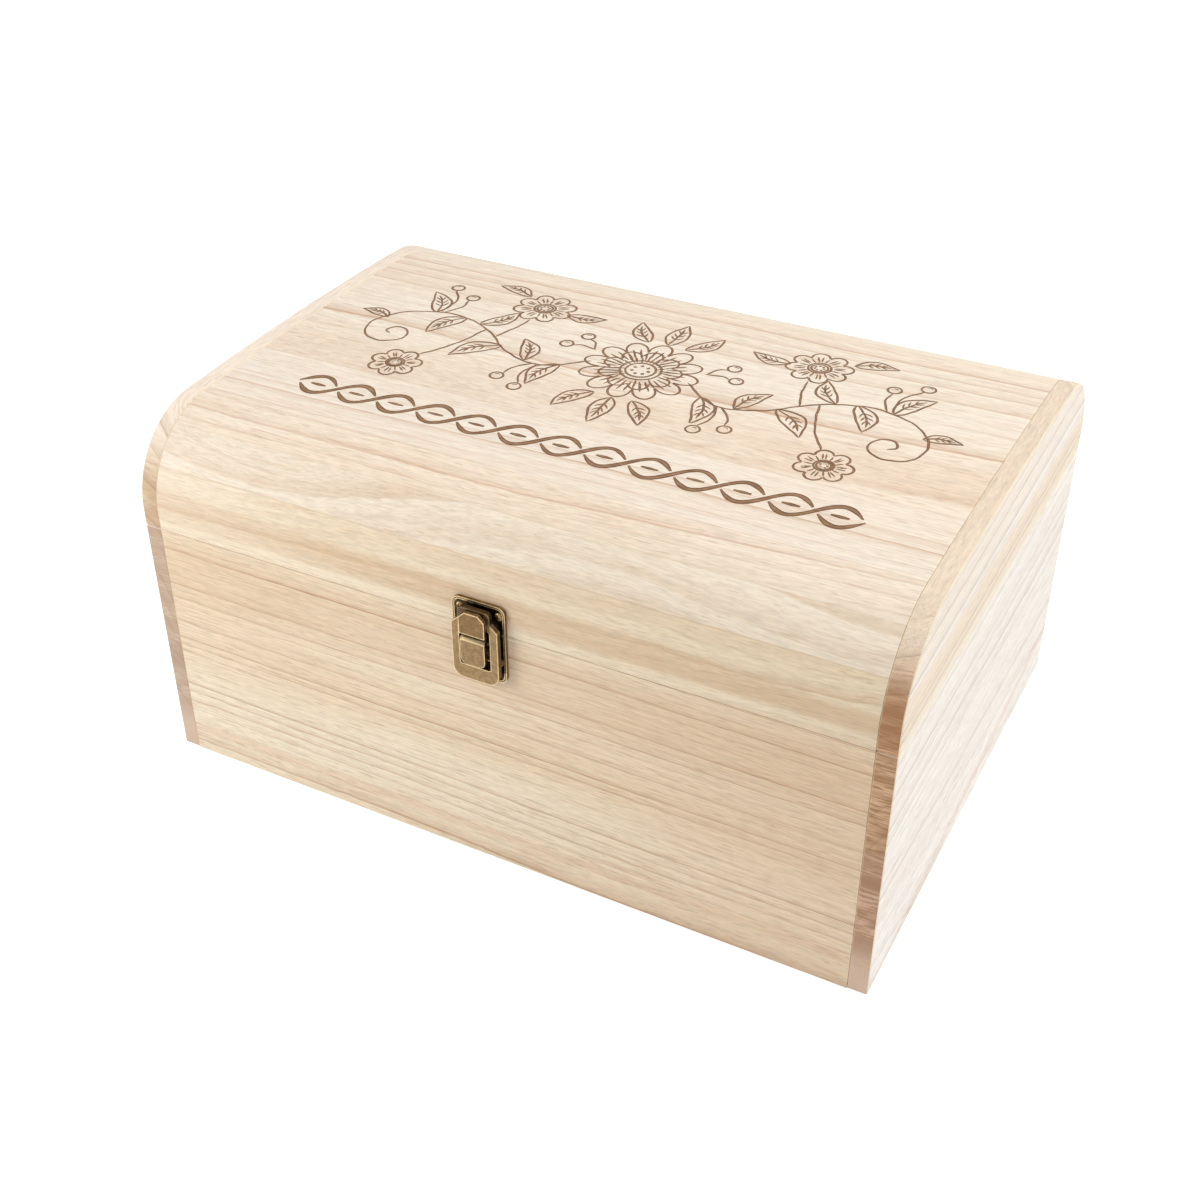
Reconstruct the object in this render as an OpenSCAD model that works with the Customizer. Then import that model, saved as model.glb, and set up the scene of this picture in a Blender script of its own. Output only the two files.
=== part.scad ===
// Keepsake box: a plain pale timber chest with a lid that rounds over at front and back,
// two butt hinges let into its back edges and an over-centre toggle latch on its front.
// X runs to the right, Y to the back and Z up. The origin is the middle of the underside.

/* [Box] */
// Overall width, left to right
box_w = 380; // [320:5:440]
// Overall depth of the timber, front to back
box_d = 274; // [230:2:330]
// Height of the closed box at the top's highest line
box_h = 192; // [180:1:230]
// Height of the base, up to the line where the lid parts
base_h = 136; // [110:0.5:142]
// Thickness of every board
board_t = 9.5; // [8.5:0.5:12]
// Thickness of the floor panel
floor_t = 5; // [4:0.5:8]
// Width of the rebate that the floor sits in
rebate_w = 5; // [3:0.5:6]
// Clearance all round the floor panel
floor_fit = 0.15; // [0.1:0.05:0.4]
// Radius of the end panels' two bottom corners
foot_r = 4; // [2:0.5:8]

/* [Lid] */
// Gap between lid and base when shut
lid_gap = 0.3; // [0.2:0.1:0.6]
// Radius of the lid's two bends, at front and back
bend_r = 45; // [30:1:48]
// Rise of the gently crowned top between the bends
crown_rise = 2; // [0.5:0.5:5]
// Angle round the front bend at which the front board is glued to the top board
front_joint_a = 59; // [30:1:75]
// Angle round the back bend at which the back board is glued to the top board
back_joint_a = 82; // [30:1:83]

/* [Hinges] */
// Distance of each hinge's middle from the box's side
hinge_inset = 75; // [40:5:110]
// Length of a hinge
leaf_l = 30; // [24:1:40]
// Depth of the leaf that is let into the edge
leaf_d = 8.2; // [6.5:0.1:8.3]
// Thickness of a leaf
leaf_t = 1; // [0.8:0.1:1.2]
// Outer radius of a knuckle
knuckle_r = 1.8; // [1.6:0.1:2.2]
// Radius of the hinge pin
hinge_pin_r = 0.8; // [0.6:0.1:1]
// Radius of the hinge pin's heads
pin_head_r = 1.4; // [1.2:0.1:1.6]
// Thickness of the hinge pin's heads
pin_head_t = 0.8; // [0.5:0.1:1.2]
// Gap between two knuckles, and between knuckles and timber
knuckle_gap = 0.2; // [0.15:0.05:0.4]
// Distance of a hinge screw from the middle of its leaf
hinge_screw_x = 9.5; // [7:0.5:10]

/* [Latch plates] */
// How far the latch sits left of the middle
latch_offset = 1; // [0:0.5:4]
// Width of both plates
plate_w = 26.8; // [25:0.2:30]
// Height of the keeper's plate on the lid
keeper_h = 15.4; // [14.6:0.2:18]
// Height of the plate on the base
catch_h = 25.4; // [24:0.2:30]
// Radius of the plates' outer corners
plate_r = 4; // [3:0.5:5]
// Thickness of a plate inside its rim
plate_t = 1; // [0.8:0.1:1.2]
// Height of the raised rim
rim_h = 1.8; // [1.4:0.1:1.9]
// Width of the raised rim
rim_w = 1.3; // [1:0.1:1.6]
// Distance of the keeper's screws above the parting line
keeper_screw_z = 10; // [9.6:0.2:10.4]
// Distance of the lower plate's screws below the parting line
catch_screw_z = 14.6; // [12:0.2:18]
// Distance of the latch screws from the middle of the plates
latch_screw_x = 9.9; // [9.6:0.1:10]

/* [Keeper] */
// Width of the keeper's lip
lip_w = 13; // [11:0.2:13.2]
// Distance of the lip's front from the timber
lip_out = 8.2; // [8:0.1:9.5]
// Thickness of the lip
lip_t = 1.95; // [1.5:0.05:1.95]
// Height of the lip's lower edge above the parting line
lip_low = 0.95; // [0.8:0.05:1.2]
// Height of the lip's top above the parting line
lip_top = 12.4; // [12:0.1:12.6]
// Size of the lip's two cut top corners
lip_cut = 3; // [2:0.2:4]
// Width of the neck behind the lip
neck_w = 8.4; // [6:0.2:9]
// Underside of the neck above the parting line
neck_low = 2.4; // [2:0.2:5]

/* [Lever and ring] */
// Distance of the lever's pin from the timber
lever_pin_out = 5.3; // [5.2:0.05:5.4]
// Distance of the lever's pin below the parting line
lever_pin_drop = 3.4; // [3.3:0.05:3.6]
// Radius of the lever's rounded head
lever_head_r = 2.9; // [2.6:0.05:2.95]
// Angle that the lever's rounded face reaches up over the lug
head_reach = 45; // [30:5:60]
// Radius of the lever's pin
lever_pin_r = 0.8; // [0.6:0.05:0.9]
// Width of the lug that carries the lever's pin
lug_w = 4.8; // [3:0.2:5.4]
// Width of the lever's face
lever_w = 12.4; // [11:0.2:13.2]
// Distance of the lever's lower end below the parting line
lever_drop = 15.2; // [14.4:0.1:15.8]
// Radius of the lever's lower corners
lever_corner_r = 3; // [2:0.5:4]
// Thickness of the lever's face
lever_t = 1.95; // [1.4:0.05:2]
// Distance of the ring's pin from the timber
ring_pin_out = 4.75; // [4.7:0.05:4.8]
// Distance of the ring's pin below the parting line
ring_pin_drop = 11.9; // [11.6:0.05:12.2]
// Radius of the ring's pin
ring_pin_r = 0.7; // [0.5:0.05:0.75]
// Radius of the lever's cheeks round the ring's pin
cheek_r = 1.6; // [1.4:0.1:1.7]
// Width of each cheek
cheek_w = 1.8; // [1.2:0.1:2.2]
// Thickness of the ring
ring_t = 2.5; // [2.2:0.05:2.5]
// Outer width of the ring
ring_w = 23.4; // [22:0.2:24]
// Width of each arm of the ring
arm_w = 3.9; // [3:0.1:3.9]
// Distance of the ring's lower edge below the parting line
ring_drop = 24.8; // [23:0.2:26]
// Height of the ring's finger bar
finger_h = 7.6; // [6:0.2:8.2]
// Radius of the ring's lower outer corners
ring_corner_r = 5.5; // [3:0.5:6]
// Radius of the ring's lower inner corners
window_r = 1.2; // [0.5:0.1:2]
// Height above the parting line at which the arms start to draw in
shoulder_z = 4.2; // [3.6:0.1:4.6]
// Top of the ring's hooked bar above the parting line
bar_top = 13.4; // [13.2:0.1:13.6]
// Height of the ring's hooked bar
bar_h = 2.4; // [2:0.1:2.5]

/* [Screws] */
// Radius of a latch screw's head
head_r = 2.1; // [1.8:0.1:2.1]
// Height of a latch screw's head
head_h = 1.1; // [0.8:0.1:1.3]
// Radius of a latch screw's shank
shank_r = 1.1; // [0.9:0.1:1.3]
// Length of a latch screw in the timber
screw_l = 7.5; // [6:0.5:7.5]
// Radius of a hinge screw's countersunk head
sink_r = 1.9; // [1.6:0.1:2]
// Radius of a hinge screw's shank
hinge_shank_r = 0.9; // [0.7:0.1:1]
// Length of a hinge screw
hinge_screw_l = 9; // [7:0.5:11]
// Width of the screws' cross slots
slot_w = 0.5; // [0.4:0.1:0.7]
// Depth of the screws' cross slots
slot_d = 0.5; // [0.3:0.1:0.6]

/* [Fits] */
// Radial clearance of a pin that something turns on
run_fit = 0.05; // [0.02:0.01:0.08]
// Radial clearance of a pin or screw that stays put
snug_fit = 0.02; // [0.01:0.01:0.04]

/* [Hidden] */
$fn = 64;
over = 1;
front_y = -box_d / 2;
back_y = box_d / 2;
side_x = box_w / 2;
inner_x = side_x - board_t;
lid_z = base_h + lid_gap;
seam_z = base_h + lid_gap / 2;
// A bend stands proud of the crown by arc_bite, so that the two arcs cross in one point
arc_bite = 0.01;
bend_c = [front_y + bend_r, box_h - crown_rise - bend_r + arc_bite];
crown_less = (pow(bend_c[0], 2) + pow(crown_rise, 2)) / (2 * crown_rise);
crown_r = bend_r + crown_less;
crown_fn = 1440;
bend_fn = 160;
// Direction from a bend's centre to the point where the crown takes over
crown_a = 90 - asin(bend_c[0] / crown_less);
// Hinges
hinge_x = side_x - hinge_inset;
hinge_y = back_y + knuckle_r + knuckle_gap;
knuckle_w = leaf_l / 3;
leaf_mid_y = back_y - leaf_d / 2;
pin_l = leaf_l + 2 * run_fit;
// Latch
bar_low = bar_top - bar_h;
neck_top = bar_low - 0.2;
ring_back = ring_pin_out - ring_t / 2;
window_w = ring_w - 2 * arm_w;
window_low = ring_drop - finger_h;
lip_in = lip_out - lip_t;
leg_in = lip_w / 2 + 0.25;
leg_out = leg_in + 1.35;
pin_fn = 48;
lug_r = lever_pin_r + 1.1;
shell_r = lug_r + 0.2;
cheek_x = 3.6;
pin_bite = 1.5;
wood = "#e6cda4";
wood_end = "#d9b98f";
ply = "#dcc49c";
brass = "#7b6236";
brass_dark = "#5d4a2a";

// ---- shared helpers ----

function along(a) = [cos(a), sin(a)];

// Stands a shape drawn in Y and Z upright and runs it along X, from x0 to x1
module run_x(x0, x1) {
    translate([x0, 0, 0]) rotate([90, 0, 90]) linear_extrude(x1 - x0) children();
}

// Places latch parts: X right, Y up from the parting line, Z out from the timber
module at_latch() {
    translate([-latch_offset, front_y, seam_z]) rotate([90, 0, 0]) children();
}

// A rod along X, centred
module rod_x(r, l, fn = pin_fn) {
    rotate([0, 90, 0]) cylinder(r = r, h = l, center = true, $fn = fn);
}

// What is cut off a square corner at c to leave a radius; sx and sy point to the corner
module corner_waste(c, r, sx, sy) {
    difference() {
        translate(c) scale([sx, sy]) square(r + over);
        translate(c) circle(r = r);
    }
}

// ---- the timber ----

// The lid's outline from the side, drawn in by inset; it is the same at front and back
module arch(inset) {
    low = lid_z - inset;
    shoulder = bend_c + 2 * bend_r * along(crown_a);
    intersection() {
        translate([-box_d, low]) square([2 * box_d, 2 * box_h]);
        translate([0, box_h - crown_r]) circle(r = crown_r - inset, $fn = crown_fn);
        union() {
            for (s = [0, 1]) mirror([s, 0]) translate(bend_c) circle(r = bend_r - inset, $fn = bend_fn);
            translate([front_y + inset, low]) square([box_d - 2 * inset, bend_c[1] - low]);
            polygon([bend_c, shoulder, [-shoulder[0], shoulder[1]], [-bend_c[0], bend_c[1]]]);
        }
    }
}

// The side of the front glue line that the front board lies on, at angle a round the bend
module glue_side(a) {
    polygon([
        bend_c, bend_c + 2 * bend_r * along(180 - a),
        [front_y - over, 2 * box_h], [front_y - over, 0], [bend_c[0], 0]
    ]);
}

module base_outline() {
    difference() {
        translate([front_y, 0]) square([box_d, base_h]);
        corner_waste([front_y + foot_r, foot_r], foot_r, -1, -1);
        corner_waste([back_y - foot_r, foot_r], foot_r, 1, -1);
    }
}

// Room for the floor, cut from all four walls
module floor_rebate() {
    w = box_w - 2 * (board_t - rebate_w);
    d = box_d - 2 * (board_t - rebate_w);
    translate([-w / 2, -d / 2, -over]) cube([w, d, floor_t + over]);
}

module base_end(side) {
    color(wood_end) difference() {
        run_x(side > 0 ? inner_x : -side_x, side > 0 ? side_x : -inner_x) base_outline();
        floor_rebate();
    }
}

module lid_end(side) {
    color(wood_end) run_x(side > 0 ? inner_x : -side_x, side > 0 ? side_x : -inner_x) arch(0);
}

module base_left_end() { base_end(-1); }
module base_right_end() { base_end(1); }
module lid_left_end() { lid_end(-1); }
module lid_right_end() { lid_end(1); }

module base_front_board() {
    color(wood) difference() {
        translate([-inner_x, front_y, 0]) cube([2 * inner_x, board_t, base_h]);
        floor_rebate();
        latch_pilots(-catch_screw_z);
    }
}

module base_back_board() {
    color(wood) difference() {
        translate([-inner_x, back_y - board_t, 0]) cube([2 * inner_x, board_t, base_h]);
        floor_rebate();
        hinge_mortises(base_h - leaf_t);
        hinge_pilots(base_h - hinge_screw_l);
    }
}

module base_floor() {
    w = box_w - 2 * (board_t - rebate_w) - 2 * floor_fit;
    d = box_d - 2 * (board_t - rebate_w) - 2 * floor_fit;
    color(ply) translate([-w / 2, -d / 2, 0]) cube([w, d, floor_t - floor_fit]);
}

module lid_front_board() {
    color(wood) difference() {
        run_x(-inner_x, inner_x) intersection() {
            difference() {
                arch(0);
                arch(board_t);
            }
            glue_side(front_joint_a);
        }
        latch_pilots(keeper_screw_z);
    }
}

module lid_top_board() {
    color(wood) run_x(-inner_x, inner_x) difference() {
        arch(0);
        arch(board_t);
        glue_side(front_joint_a);
        mirror([1, 0]) glue_side(back_joint_a);
    }
}

module lid_back_board() {
    color(wood) difference() {
        run_x(-inner_x, inner_x) intersection() {
            difference() {
                arch(0);
                arch(board_t);
            }
            mirror([1, 0]) glue_side(back_joint_a);
        }
        hinge_mortises(lid_z);
        hinge_pilots(lid_z);
    }
}

// ---- hinges ----

module each_hinge() {
    for (side = [-1, 1]) translate([side * hinge_x, 0, 0]) children();
}

module each_hinge_screw() {
    for (s = [-1, 1]) translate([s * hinge_screw_x, leaf_mid_y, 0]) children();
}

// Pocket for a leaf, one leaf thick, from z0 up
module hinge_mortises(z0) {
    each_hinge() translate([-leaf_l / 2 - snug_fit, back_y - leaf_d - snug_fit, z0])
        cube([leaf_l + 2 * snug_fit, leaf_d + snug_fit + over, leaf_t]);
}

// Holes for the hinge screws, one screw long, from z0 up
module hinge_pilots(z0) {
    each_hinge() each_hinge_screw() translate([0, 0, z0])
        cylinder(r = hinge_shank_r + snug_fit, h = hinge_screw_l, $fn = pin_fn);
}

// Knuckles between x = x0 and x1, and the tongues that join them to the leaf
module knuckle(x0, x1, z0) {
    translate([x0, back_y - over, z0]) cube([x1 - x0, hinge_y - back_y + over, leaf_t]);
    translate([(x0 + x1) / 2, hinge_y, seam_z]) rod_x(knuckle_r, x1 - x0);
}

// z0 is the leaf's underside; up is 1 where the screws go in from above
module leaf(z0, up) {
    color(brass) difference() {
        union() {
            translate([-leaf_l / 2, back_y - leaf_d, z0]) cube([leaf_l, leaf_d, leaf_t]);
            if (up > 0) for (s = [-1, 1])
                mirror([s < 0 ? 1 : 0, 0, 0])
                    knuckle(knuckle_w / 2 + knuckle_gap / 2, leaf_l / 2, z0);
            else knuckle(-knuckle_w / 2 + knuckle_gap / 2, knuckle_w / 2 - knuckle_gap / 2, z0);
        }
        translate([0, hinge_y, seam_z]) rod_x(hinge_pin_r + (up > 0 ? snug_fit : run_fit), 2 * leaf_l);
        each_hinge_screw() translate([0, 0, z0]) sunk_hole(up);
    }
}

module sunk_hole(up) {
    wide = sink_r + snug_fit;
    tight = hinge_shank_r + snug_fit;
    cylinder(r1 = up > 0 ? tight : wide, r2 = up > 0 ? wide : tight, h = leaf_t, $fn = pin_fn);
}

module hinge_pin() {
    color(brass_dark) translate([0, hinge_y, seam_z]) {
        rod_x(hinge_pin_r, pin_l);
        for (s = [-1, 1]) translate([s * (pin_l + pin_head_t) / 2, 0, 0]) rod_x(pin_head_r, pin_head_t);
    }
}

module left_hinge_base_leaf() { translate([-hinge_x, 0, 0]) leaf(base_h - leaf_t, 1); }
module right_hinge_base_leaf() { translate([hinge_x, 0, 0]) leaf(base_h - leaf_t, 1); }
module left_hinge_lid_leaf() { translate([-hinge_x, 0, 0]) leaf(lid_z, -1); }
module right_hinge_lid_leaf() { translate([hinge_x, 0, 0]) leaf(lid_z, -1); }
module left_hinge_pin() { translate([-hinge_x, 0, 0]) hinge_pin(); }
module right_hinge_pin() { translate([hinge_x, 0, 0]) hinge_pin(); }

// A countersunk screw that points down from z = 0
module sunk_screw() {
    color(brass_dark) difference() {
        union() {
            translate([0, 0, -leaf_t]) cylinder(r1 = hinge_shank_r, r2 = sink_r, h = leaf_t, $fn = pin_fn);
            translate([0, 0, -hinge_screw_l]) cylinder(r = hinge_shank_r, h = hinge_screw_l - leaf_t, $fn = pin_fn);
        }
        cross_slot(sink_r);
    }
}

// The cross slot of a head whose face is at z = 0
module cross_slot(r) {
    for (a = [0, 90]) rotate([0, 0, a])
        translate([-0.6 * r, -slot_w / 2, -slot_d]) cube([1.2 * r, slot_w, slot_d + over]);
}

module hinge_base_screws() {
    each_hinge() each_hinge_screw() translate([0, 0, base_h]) sunk_screw();
}

module hinge_lid_screws() {
    each_hinge() each_hinge_screw() translate([0, 0, lid_z]) mirror([0, 0, 1]) sunk_screw();
}

// ---- latch ----

module each_latch_screw(z) {
    for (s = [-1, 1]) translate([s * latch_screw_x, z, 0]) children();
}

module latch_pilots(z) {
    at_latch() each_latch_screw(z) translate([0, 0, -screw_l])
        cylinder(r = shank_r + snug_fit, h = screw_l + over, $fn = pin_fn);
}

// One plate's outline: it grows from the parting line by h, inset all round but at that line
module plate_outline(h, inset) {
    r = plate_r - inset;
    w = plate_w / 2 - inset;
    top = h - inset;
    difference() {
        translate([-w, lid_gap / 2]) square([2 * w, top - lid_gap / 2]);
        corner_waste([w - r, top - r], r, 1, 1);
        corner_waste([-w + r, top - r], r, -1, 1);
    }
}

// A plate with its raised rim on three sides
module rimmed_plate(h, screw_z) {
    difference() {
        linear_extrude(rim_h) plate_outline(h, 0);
        translate([0, 0, plate_t]) linear_extrude(rim_h) union() {
            plate_outline(h, rim_w);
            translate([-plate_w / 2 + rim_w, -over]) square([plate_w - 2 * rim_w, 2 * over]);
        }
        each_latch_screw(screw_z) translate([0, 0, -over])
            cylinder(r = shank_r + snug_fit, h = 2 * over + plate_t, $fn = pin_fn);
    }
}

module lip_outline() {
    w = lip_w / 2;
    polygon([
        [-w, lip_low], [w, lip_low], [w, lip_top - lip_cut],
        [w - lip_cut, lip_top], [lip_cut - w, lip_top], [-w, lip_top - lip_cut]
    ]);
}

module latch_keeper() {
    color(brass) at_latch() union() {
        rimmed_plate(keeper_h, keeper_screw_z);
        translate([-neck_w / 2, neck_low, plate_t / 2])
            cube([neck_w, neck_top - neck_low, lip_in + lip_t / 2 - plate_t / 2]);
        translate([0, 0, lip_in]) linear_extrude(lip_t) lip_outline();
    }
}

module at_lever_pin() {
    translate([0, -lever_pin_drop, lever_pin_out]) children();
}

module at_ring_pin() {
    translate([0, -ring_pin_drop, ring_pin_out]) children();
}

module latch_base_plate() {
    color(brass) at_latch() difference() {
        union() {
            mirror([0, 1, 0]) rimmed_plate(catch_h, catch_screw_z);
            at_lever_pin() rod_x(lug_r, lug_w);
            translate([-lug_w / 2, -lever_pin_drop - lug_r, plate_t / 2])
                cube([lug_w, 1.3 * lug_r, lever_pin_out - plate_t / 2]);
        }
        at_lever_pin() rod_x(lever_pin_r + snug_fit, 2 * lug_w);
    }
}

// The face that the fingers see, with its two lower corners rounded
module lever_face() {
    w = lever_w / 2;
    low = -lever_drop;
    difference() {
        translate([-w, low]) square([lever_w, lever_drop - lever_pin_drop]);
        corner_waste([w - lever_corner_r, low + lever_corner_r], lever_corner_r, 1, -1);
        corner_waste([-w + lever_corner_r, low + lever_corner_r], lever_corner_r, -1, -1);
    }
}

module latch_lever() {
    head_w = (lever_w - lug_w) / 2 - knuckle_gap;
    color(brass) at_latch() difference() {
        union() {
            // two heads on the pin, one each side of the plate's lug
            for (s = [-1, 1]) translate([s * (lever_w - head_w) / 2, 0, 0])
                at_lever_pin() rod_x(lever_head_r, head_w, 64);
            // the rounded top of the face, which passes in front of the lug
            intersection() {
                at_lever_pin() rod_x(lever_head_r, lever_w - head_w, 64);
                at_lever_pin() rotate([90 - head_reach, 0, 0])
                    translate([-lever_w / 2, 0, 0]) cube([lever_w, lever_head_r, lever_head_r]);
            }
            translate([0, 0, lever_pin_out + lever_head_r - lever_t])
                linear_extrude(lever_t) lever_face();
            for (s = [-1, 1]) translate([s * (cheek_x + cheek_w / 2), 0, 0]) {
                at_ring_pin() rod_x(cheek_r, cheek_w);
                translate([-cheek_w / 2, -ring_pin_drop - cheek_r, ring_pin_out])
                    cube([cheek_w, 2 * cheek_r, lever_pin_out + lever_head_r - lever_t / 2 - ring_pin_out]);
            }
        }
        at_lever_pin() rod_x(lever_pin_r + run_fit, 2 * lever_w);
        at_lever_pin() rod_x(shell_r, lug_w + 2 * knuckle_gap);
        at_ring_pin() rod_x(ring_pin_r + snug_fit, 2 * lever_w);
    }
}

// The ring: a finger bar below, two arms, and a bar above that hooks behind the lip
module ring_outline() {
    w = ring_w / 2;
    low = -ring_drop;
    draw_in = w - leg_out;
    difference() {
        union() {
            translate([-w, low]) square([ring_w, shoulder_z + ring_drop]);
            polygon([
                [-w, shoulder_z], [w, shoulder_z],
                [leg_out, shoulder_z + 0.9 * draw_in], [-leg_out, shoulder_z + 0.9 * draw_in]
            ]);
            translate([-leg_out, shoulder_z]) square([2 * leg_out, bar_top - shoulder_z]);
        }
        corner_waste([w - ring_corner_r, low + ring_corner_r], ring_corner_r, 1, -1);
        corner_waste([-w + ring_corner_r, low + ring_corner_r], ring_corner_r, -1, -1);
        corner_waste([leg_out - bar_h, bar_top - bar_h], bar_h, 1, 1);
        corner_waste([-leg_out + bar_h, bar_top - bar_h], bar_h, -1, 1);
    }
}

module ring_window() {
    w = window_w / 2;
    low = -window_low;
    narrow = leg_in - 1.4;
    difference() {
        union() {
            translate([-w, low]) square([window_w, shoulder_z - 1 + window_low]);
            polygon([
                [-w, shoulder_z - 1], [w, shoulder_z - 1],
                [leg_in, shoulder_z], [leg_in, bar_low - 1.4], [narrow, bar_low],
                [-narrow, bar_low], [-leg_in, bar_low - 1.4], [-leg_in, shoulder_z]
            ]);
        }
        corner_waste([w - window_r, low + window_r], window_r, 1, -1);
        corner_waste([-w + window_r, low + window_r], window_r, -1, -1);
    }
}

module latch_ring() {
    color(brass) at_latch() difference() {
        translate([0, 0, ring_back]) linear_extrude(ring_t) difference() {
            ring_outline();
            ring_window();
        }
        at_ring_pin() rod_x(ring_pin_r + run_fit, window_w + 2 * (pin_bite + run_fit));
    }
}

module lever_pin() {
    color(brass_dark) at_latch() at_lever_pin() rod_x(lever_pin_r, lever_w - 0.4);
}

module ring_pin() {
    color(brass_dark) at_latch() at_ring_pin() rod_x(ring_pin_r, window_w + 2 * pin_bite);
}

// A round-headed screw that points into the timber, its head on the plate
module dome_screw() {
    dome = (pow(head_r, 2) + pow(head_h, 2)) / (2 * head_h);
    color(brass_dark) translate([0, 0, plate_t]) difference() {
        union() {
            intersection() {
                translate([0, 0, head_h - dome]) sphere(r = dome, $fn = 64);
                cylinder(r = head_r, h = head_h, $fn = pin_fn);
            }
            translate([0, 0, -plate_t - screw_l]) cylinder(r = shank_r, h = plate_t + screw_l, $fn = pin_fn);
        }
        translate([0, 0, head_h]) cross_slot(head_r);
    }
}

module latch_base_screws() {
    at_latch() each_latch_screw(-catch_screw_z) dome_screw();
}

module latch_keeper_screws() {
    at_latch() each_latch_screw(keeper_screw_z) dome_screw();
}

base_left_end();
base_right_end();
base_front_board();
base_back_board();
base_floor();
lid_left_end();
lid_right_end();
lid_front_board();
lid_top_board();
lid_back_board();
left_hinge_base_leaf();
left_hinge_lid_leaf();
left_hinge_pin();
right_hinge_base_leaf();
right_hinge_lid_leaf();
right_hinge_pin();
hinge_base_screws();
hinge_lid_screws();
latch_base_plate();
latch_keeper();
latch_lever();
latch_ring();
lever_pin();
ring_pin();
latch_base_screws();
latch_keeper_screws();
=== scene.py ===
import math
import bpy
import numpy as np
from mathutils import Matrix, Vector
from mathutils.bvhtree import BVHTree


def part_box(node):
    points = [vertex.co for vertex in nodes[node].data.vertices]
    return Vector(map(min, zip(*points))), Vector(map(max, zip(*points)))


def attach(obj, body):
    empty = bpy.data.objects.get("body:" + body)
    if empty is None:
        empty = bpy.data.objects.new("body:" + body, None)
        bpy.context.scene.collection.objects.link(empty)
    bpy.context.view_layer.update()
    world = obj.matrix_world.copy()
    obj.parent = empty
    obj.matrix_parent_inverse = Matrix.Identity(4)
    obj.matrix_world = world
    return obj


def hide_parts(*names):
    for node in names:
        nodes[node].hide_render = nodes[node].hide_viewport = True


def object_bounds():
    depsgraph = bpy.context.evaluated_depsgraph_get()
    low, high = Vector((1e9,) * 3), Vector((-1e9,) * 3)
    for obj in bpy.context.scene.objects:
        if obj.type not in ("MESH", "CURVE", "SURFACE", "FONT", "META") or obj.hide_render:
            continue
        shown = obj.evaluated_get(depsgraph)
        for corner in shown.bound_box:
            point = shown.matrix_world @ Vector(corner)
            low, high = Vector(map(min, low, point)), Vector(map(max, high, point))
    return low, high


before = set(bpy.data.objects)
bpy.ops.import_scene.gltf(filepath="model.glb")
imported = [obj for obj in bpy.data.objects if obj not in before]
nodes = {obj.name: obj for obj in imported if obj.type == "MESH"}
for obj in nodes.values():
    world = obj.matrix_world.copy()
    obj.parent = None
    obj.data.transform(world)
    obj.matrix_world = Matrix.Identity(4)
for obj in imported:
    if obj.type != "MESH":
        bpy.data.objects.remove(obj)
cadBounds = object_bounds()
scene = bpy.context.scene
print("frame loaded:", len(nodes), "pieces")

scene.view_settings.view_transform = "Standard"

# The camera was solved from the box's own edges in the photograph
cameraView = {
    "target": (-0.0513, 0.003, 0.0358),
    "azimuth": 29.8356,    # degrees, 0 looks along +Y
    "elevation": 35.4041,
    "roll": -1.4837,
    "distance": 0.9157,
    "focalPixels": 1679.3,
    "imageSide": 1200,
    "opticalCentre": (540.0, 620.1),   # pixels from the top left corner
    "sensorWidth": 36,     # millimetres
    "nearest": 0.05,
}


def makeCamera(view):
    azimuth = math.radians(view["azimuth"])
    elevation = math.radians(view["elevation"])
    roll = math.radians(view["roll"])
    back = Vector((
        math.sin(azimuth) * math.cos(elevation),
        -math.cos(azimuth) * math.cos(elevation),
        math.sin(elevation),
    ))
    level = Vector((0, 0, 1)).cross(back).normalized()
    upright = back.cross(level)
    right = level * math.cos(roll) + upright * math.sin(roll)
    up = upright * math.cos(roll) - level * math.sin(roll)
    data = bpy.data.cameras.new("camera")
    camera = bpy.data.objects.new("camera", data)
    scene.collection.objects.link(camera)
    place = Vector(view["target"]) + back * view["distance"]
    turn = Matrix((right, up, back)).transposed().to_4x4()
    camera.matrix_world = Matrix.Translation(place) @ turn
    data.sensor_width = view["sensorWidth"]
    data.lens = view["focalPixels"] / view["imageSide"] * data.sensor_width
    half = view["imageSide"] / 2
    data.shift_x = (half - view["opticalCentre"][0]) / view["imageSide"]
    data.shift_y = (view["opticalCentre"][1] - half) / view["imageSide"]
    data.clip_start = view["nearest"]
    scene.camera = camera


makeCamera(cameraView)
print("camera set")


# Node helpers: each adds to the tree and gives back a socket to go on with
def startMaterial(name):
    material = bpy.data.materials.new(name)
    material.use_nodes = True
    material.node_tree.nodes.clear()
    return material, material.node_tree


def addNode(tree, kind, settings=None, inputs=None):
    node = tree.nodes.new(kind)
    for key, value in (settings or {}).items():
        setattr(node, key, value)
    for key, value in (inputs or {}).items():
        if isinstance(value, bpy.types.NodeSocket):
            tree.links.new(value, node.inputs[key])
        else:
            node.inputs[key].default_value = value
    return node


def calc(tree, operation, *values):
    return addNode(tree, "ShaderNodeMath", {"operation": operation}, dict(enumerate(values))).outputs[0]


# Carries a value smoothly from one range to another
def spread(tree, value, low, high, newLow=0.0, newHigh=1.0):
    node = addNode(tree, "ShaderNodeMapRange", {"interpolation_type": "SMOOTHSTEP"}, {
        "Value": value, "From Min": low, "From Max": high, "To Min": newLow, "To Max": newHigh,
    })
    return node.outputs["Result"]


# Sockets 0, 6 and 7 of a colour mix are its factor and its two colours
def blendColours(tree, amount, first, second, mode="MIX"):
    node = addNode(tree, "ShaderNodeMix", {"data_type": "RGBA", "blend_type": mode}, {
        0: amount, 6: first, 7: second,
    })
    return node.outputs[2]


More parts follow.
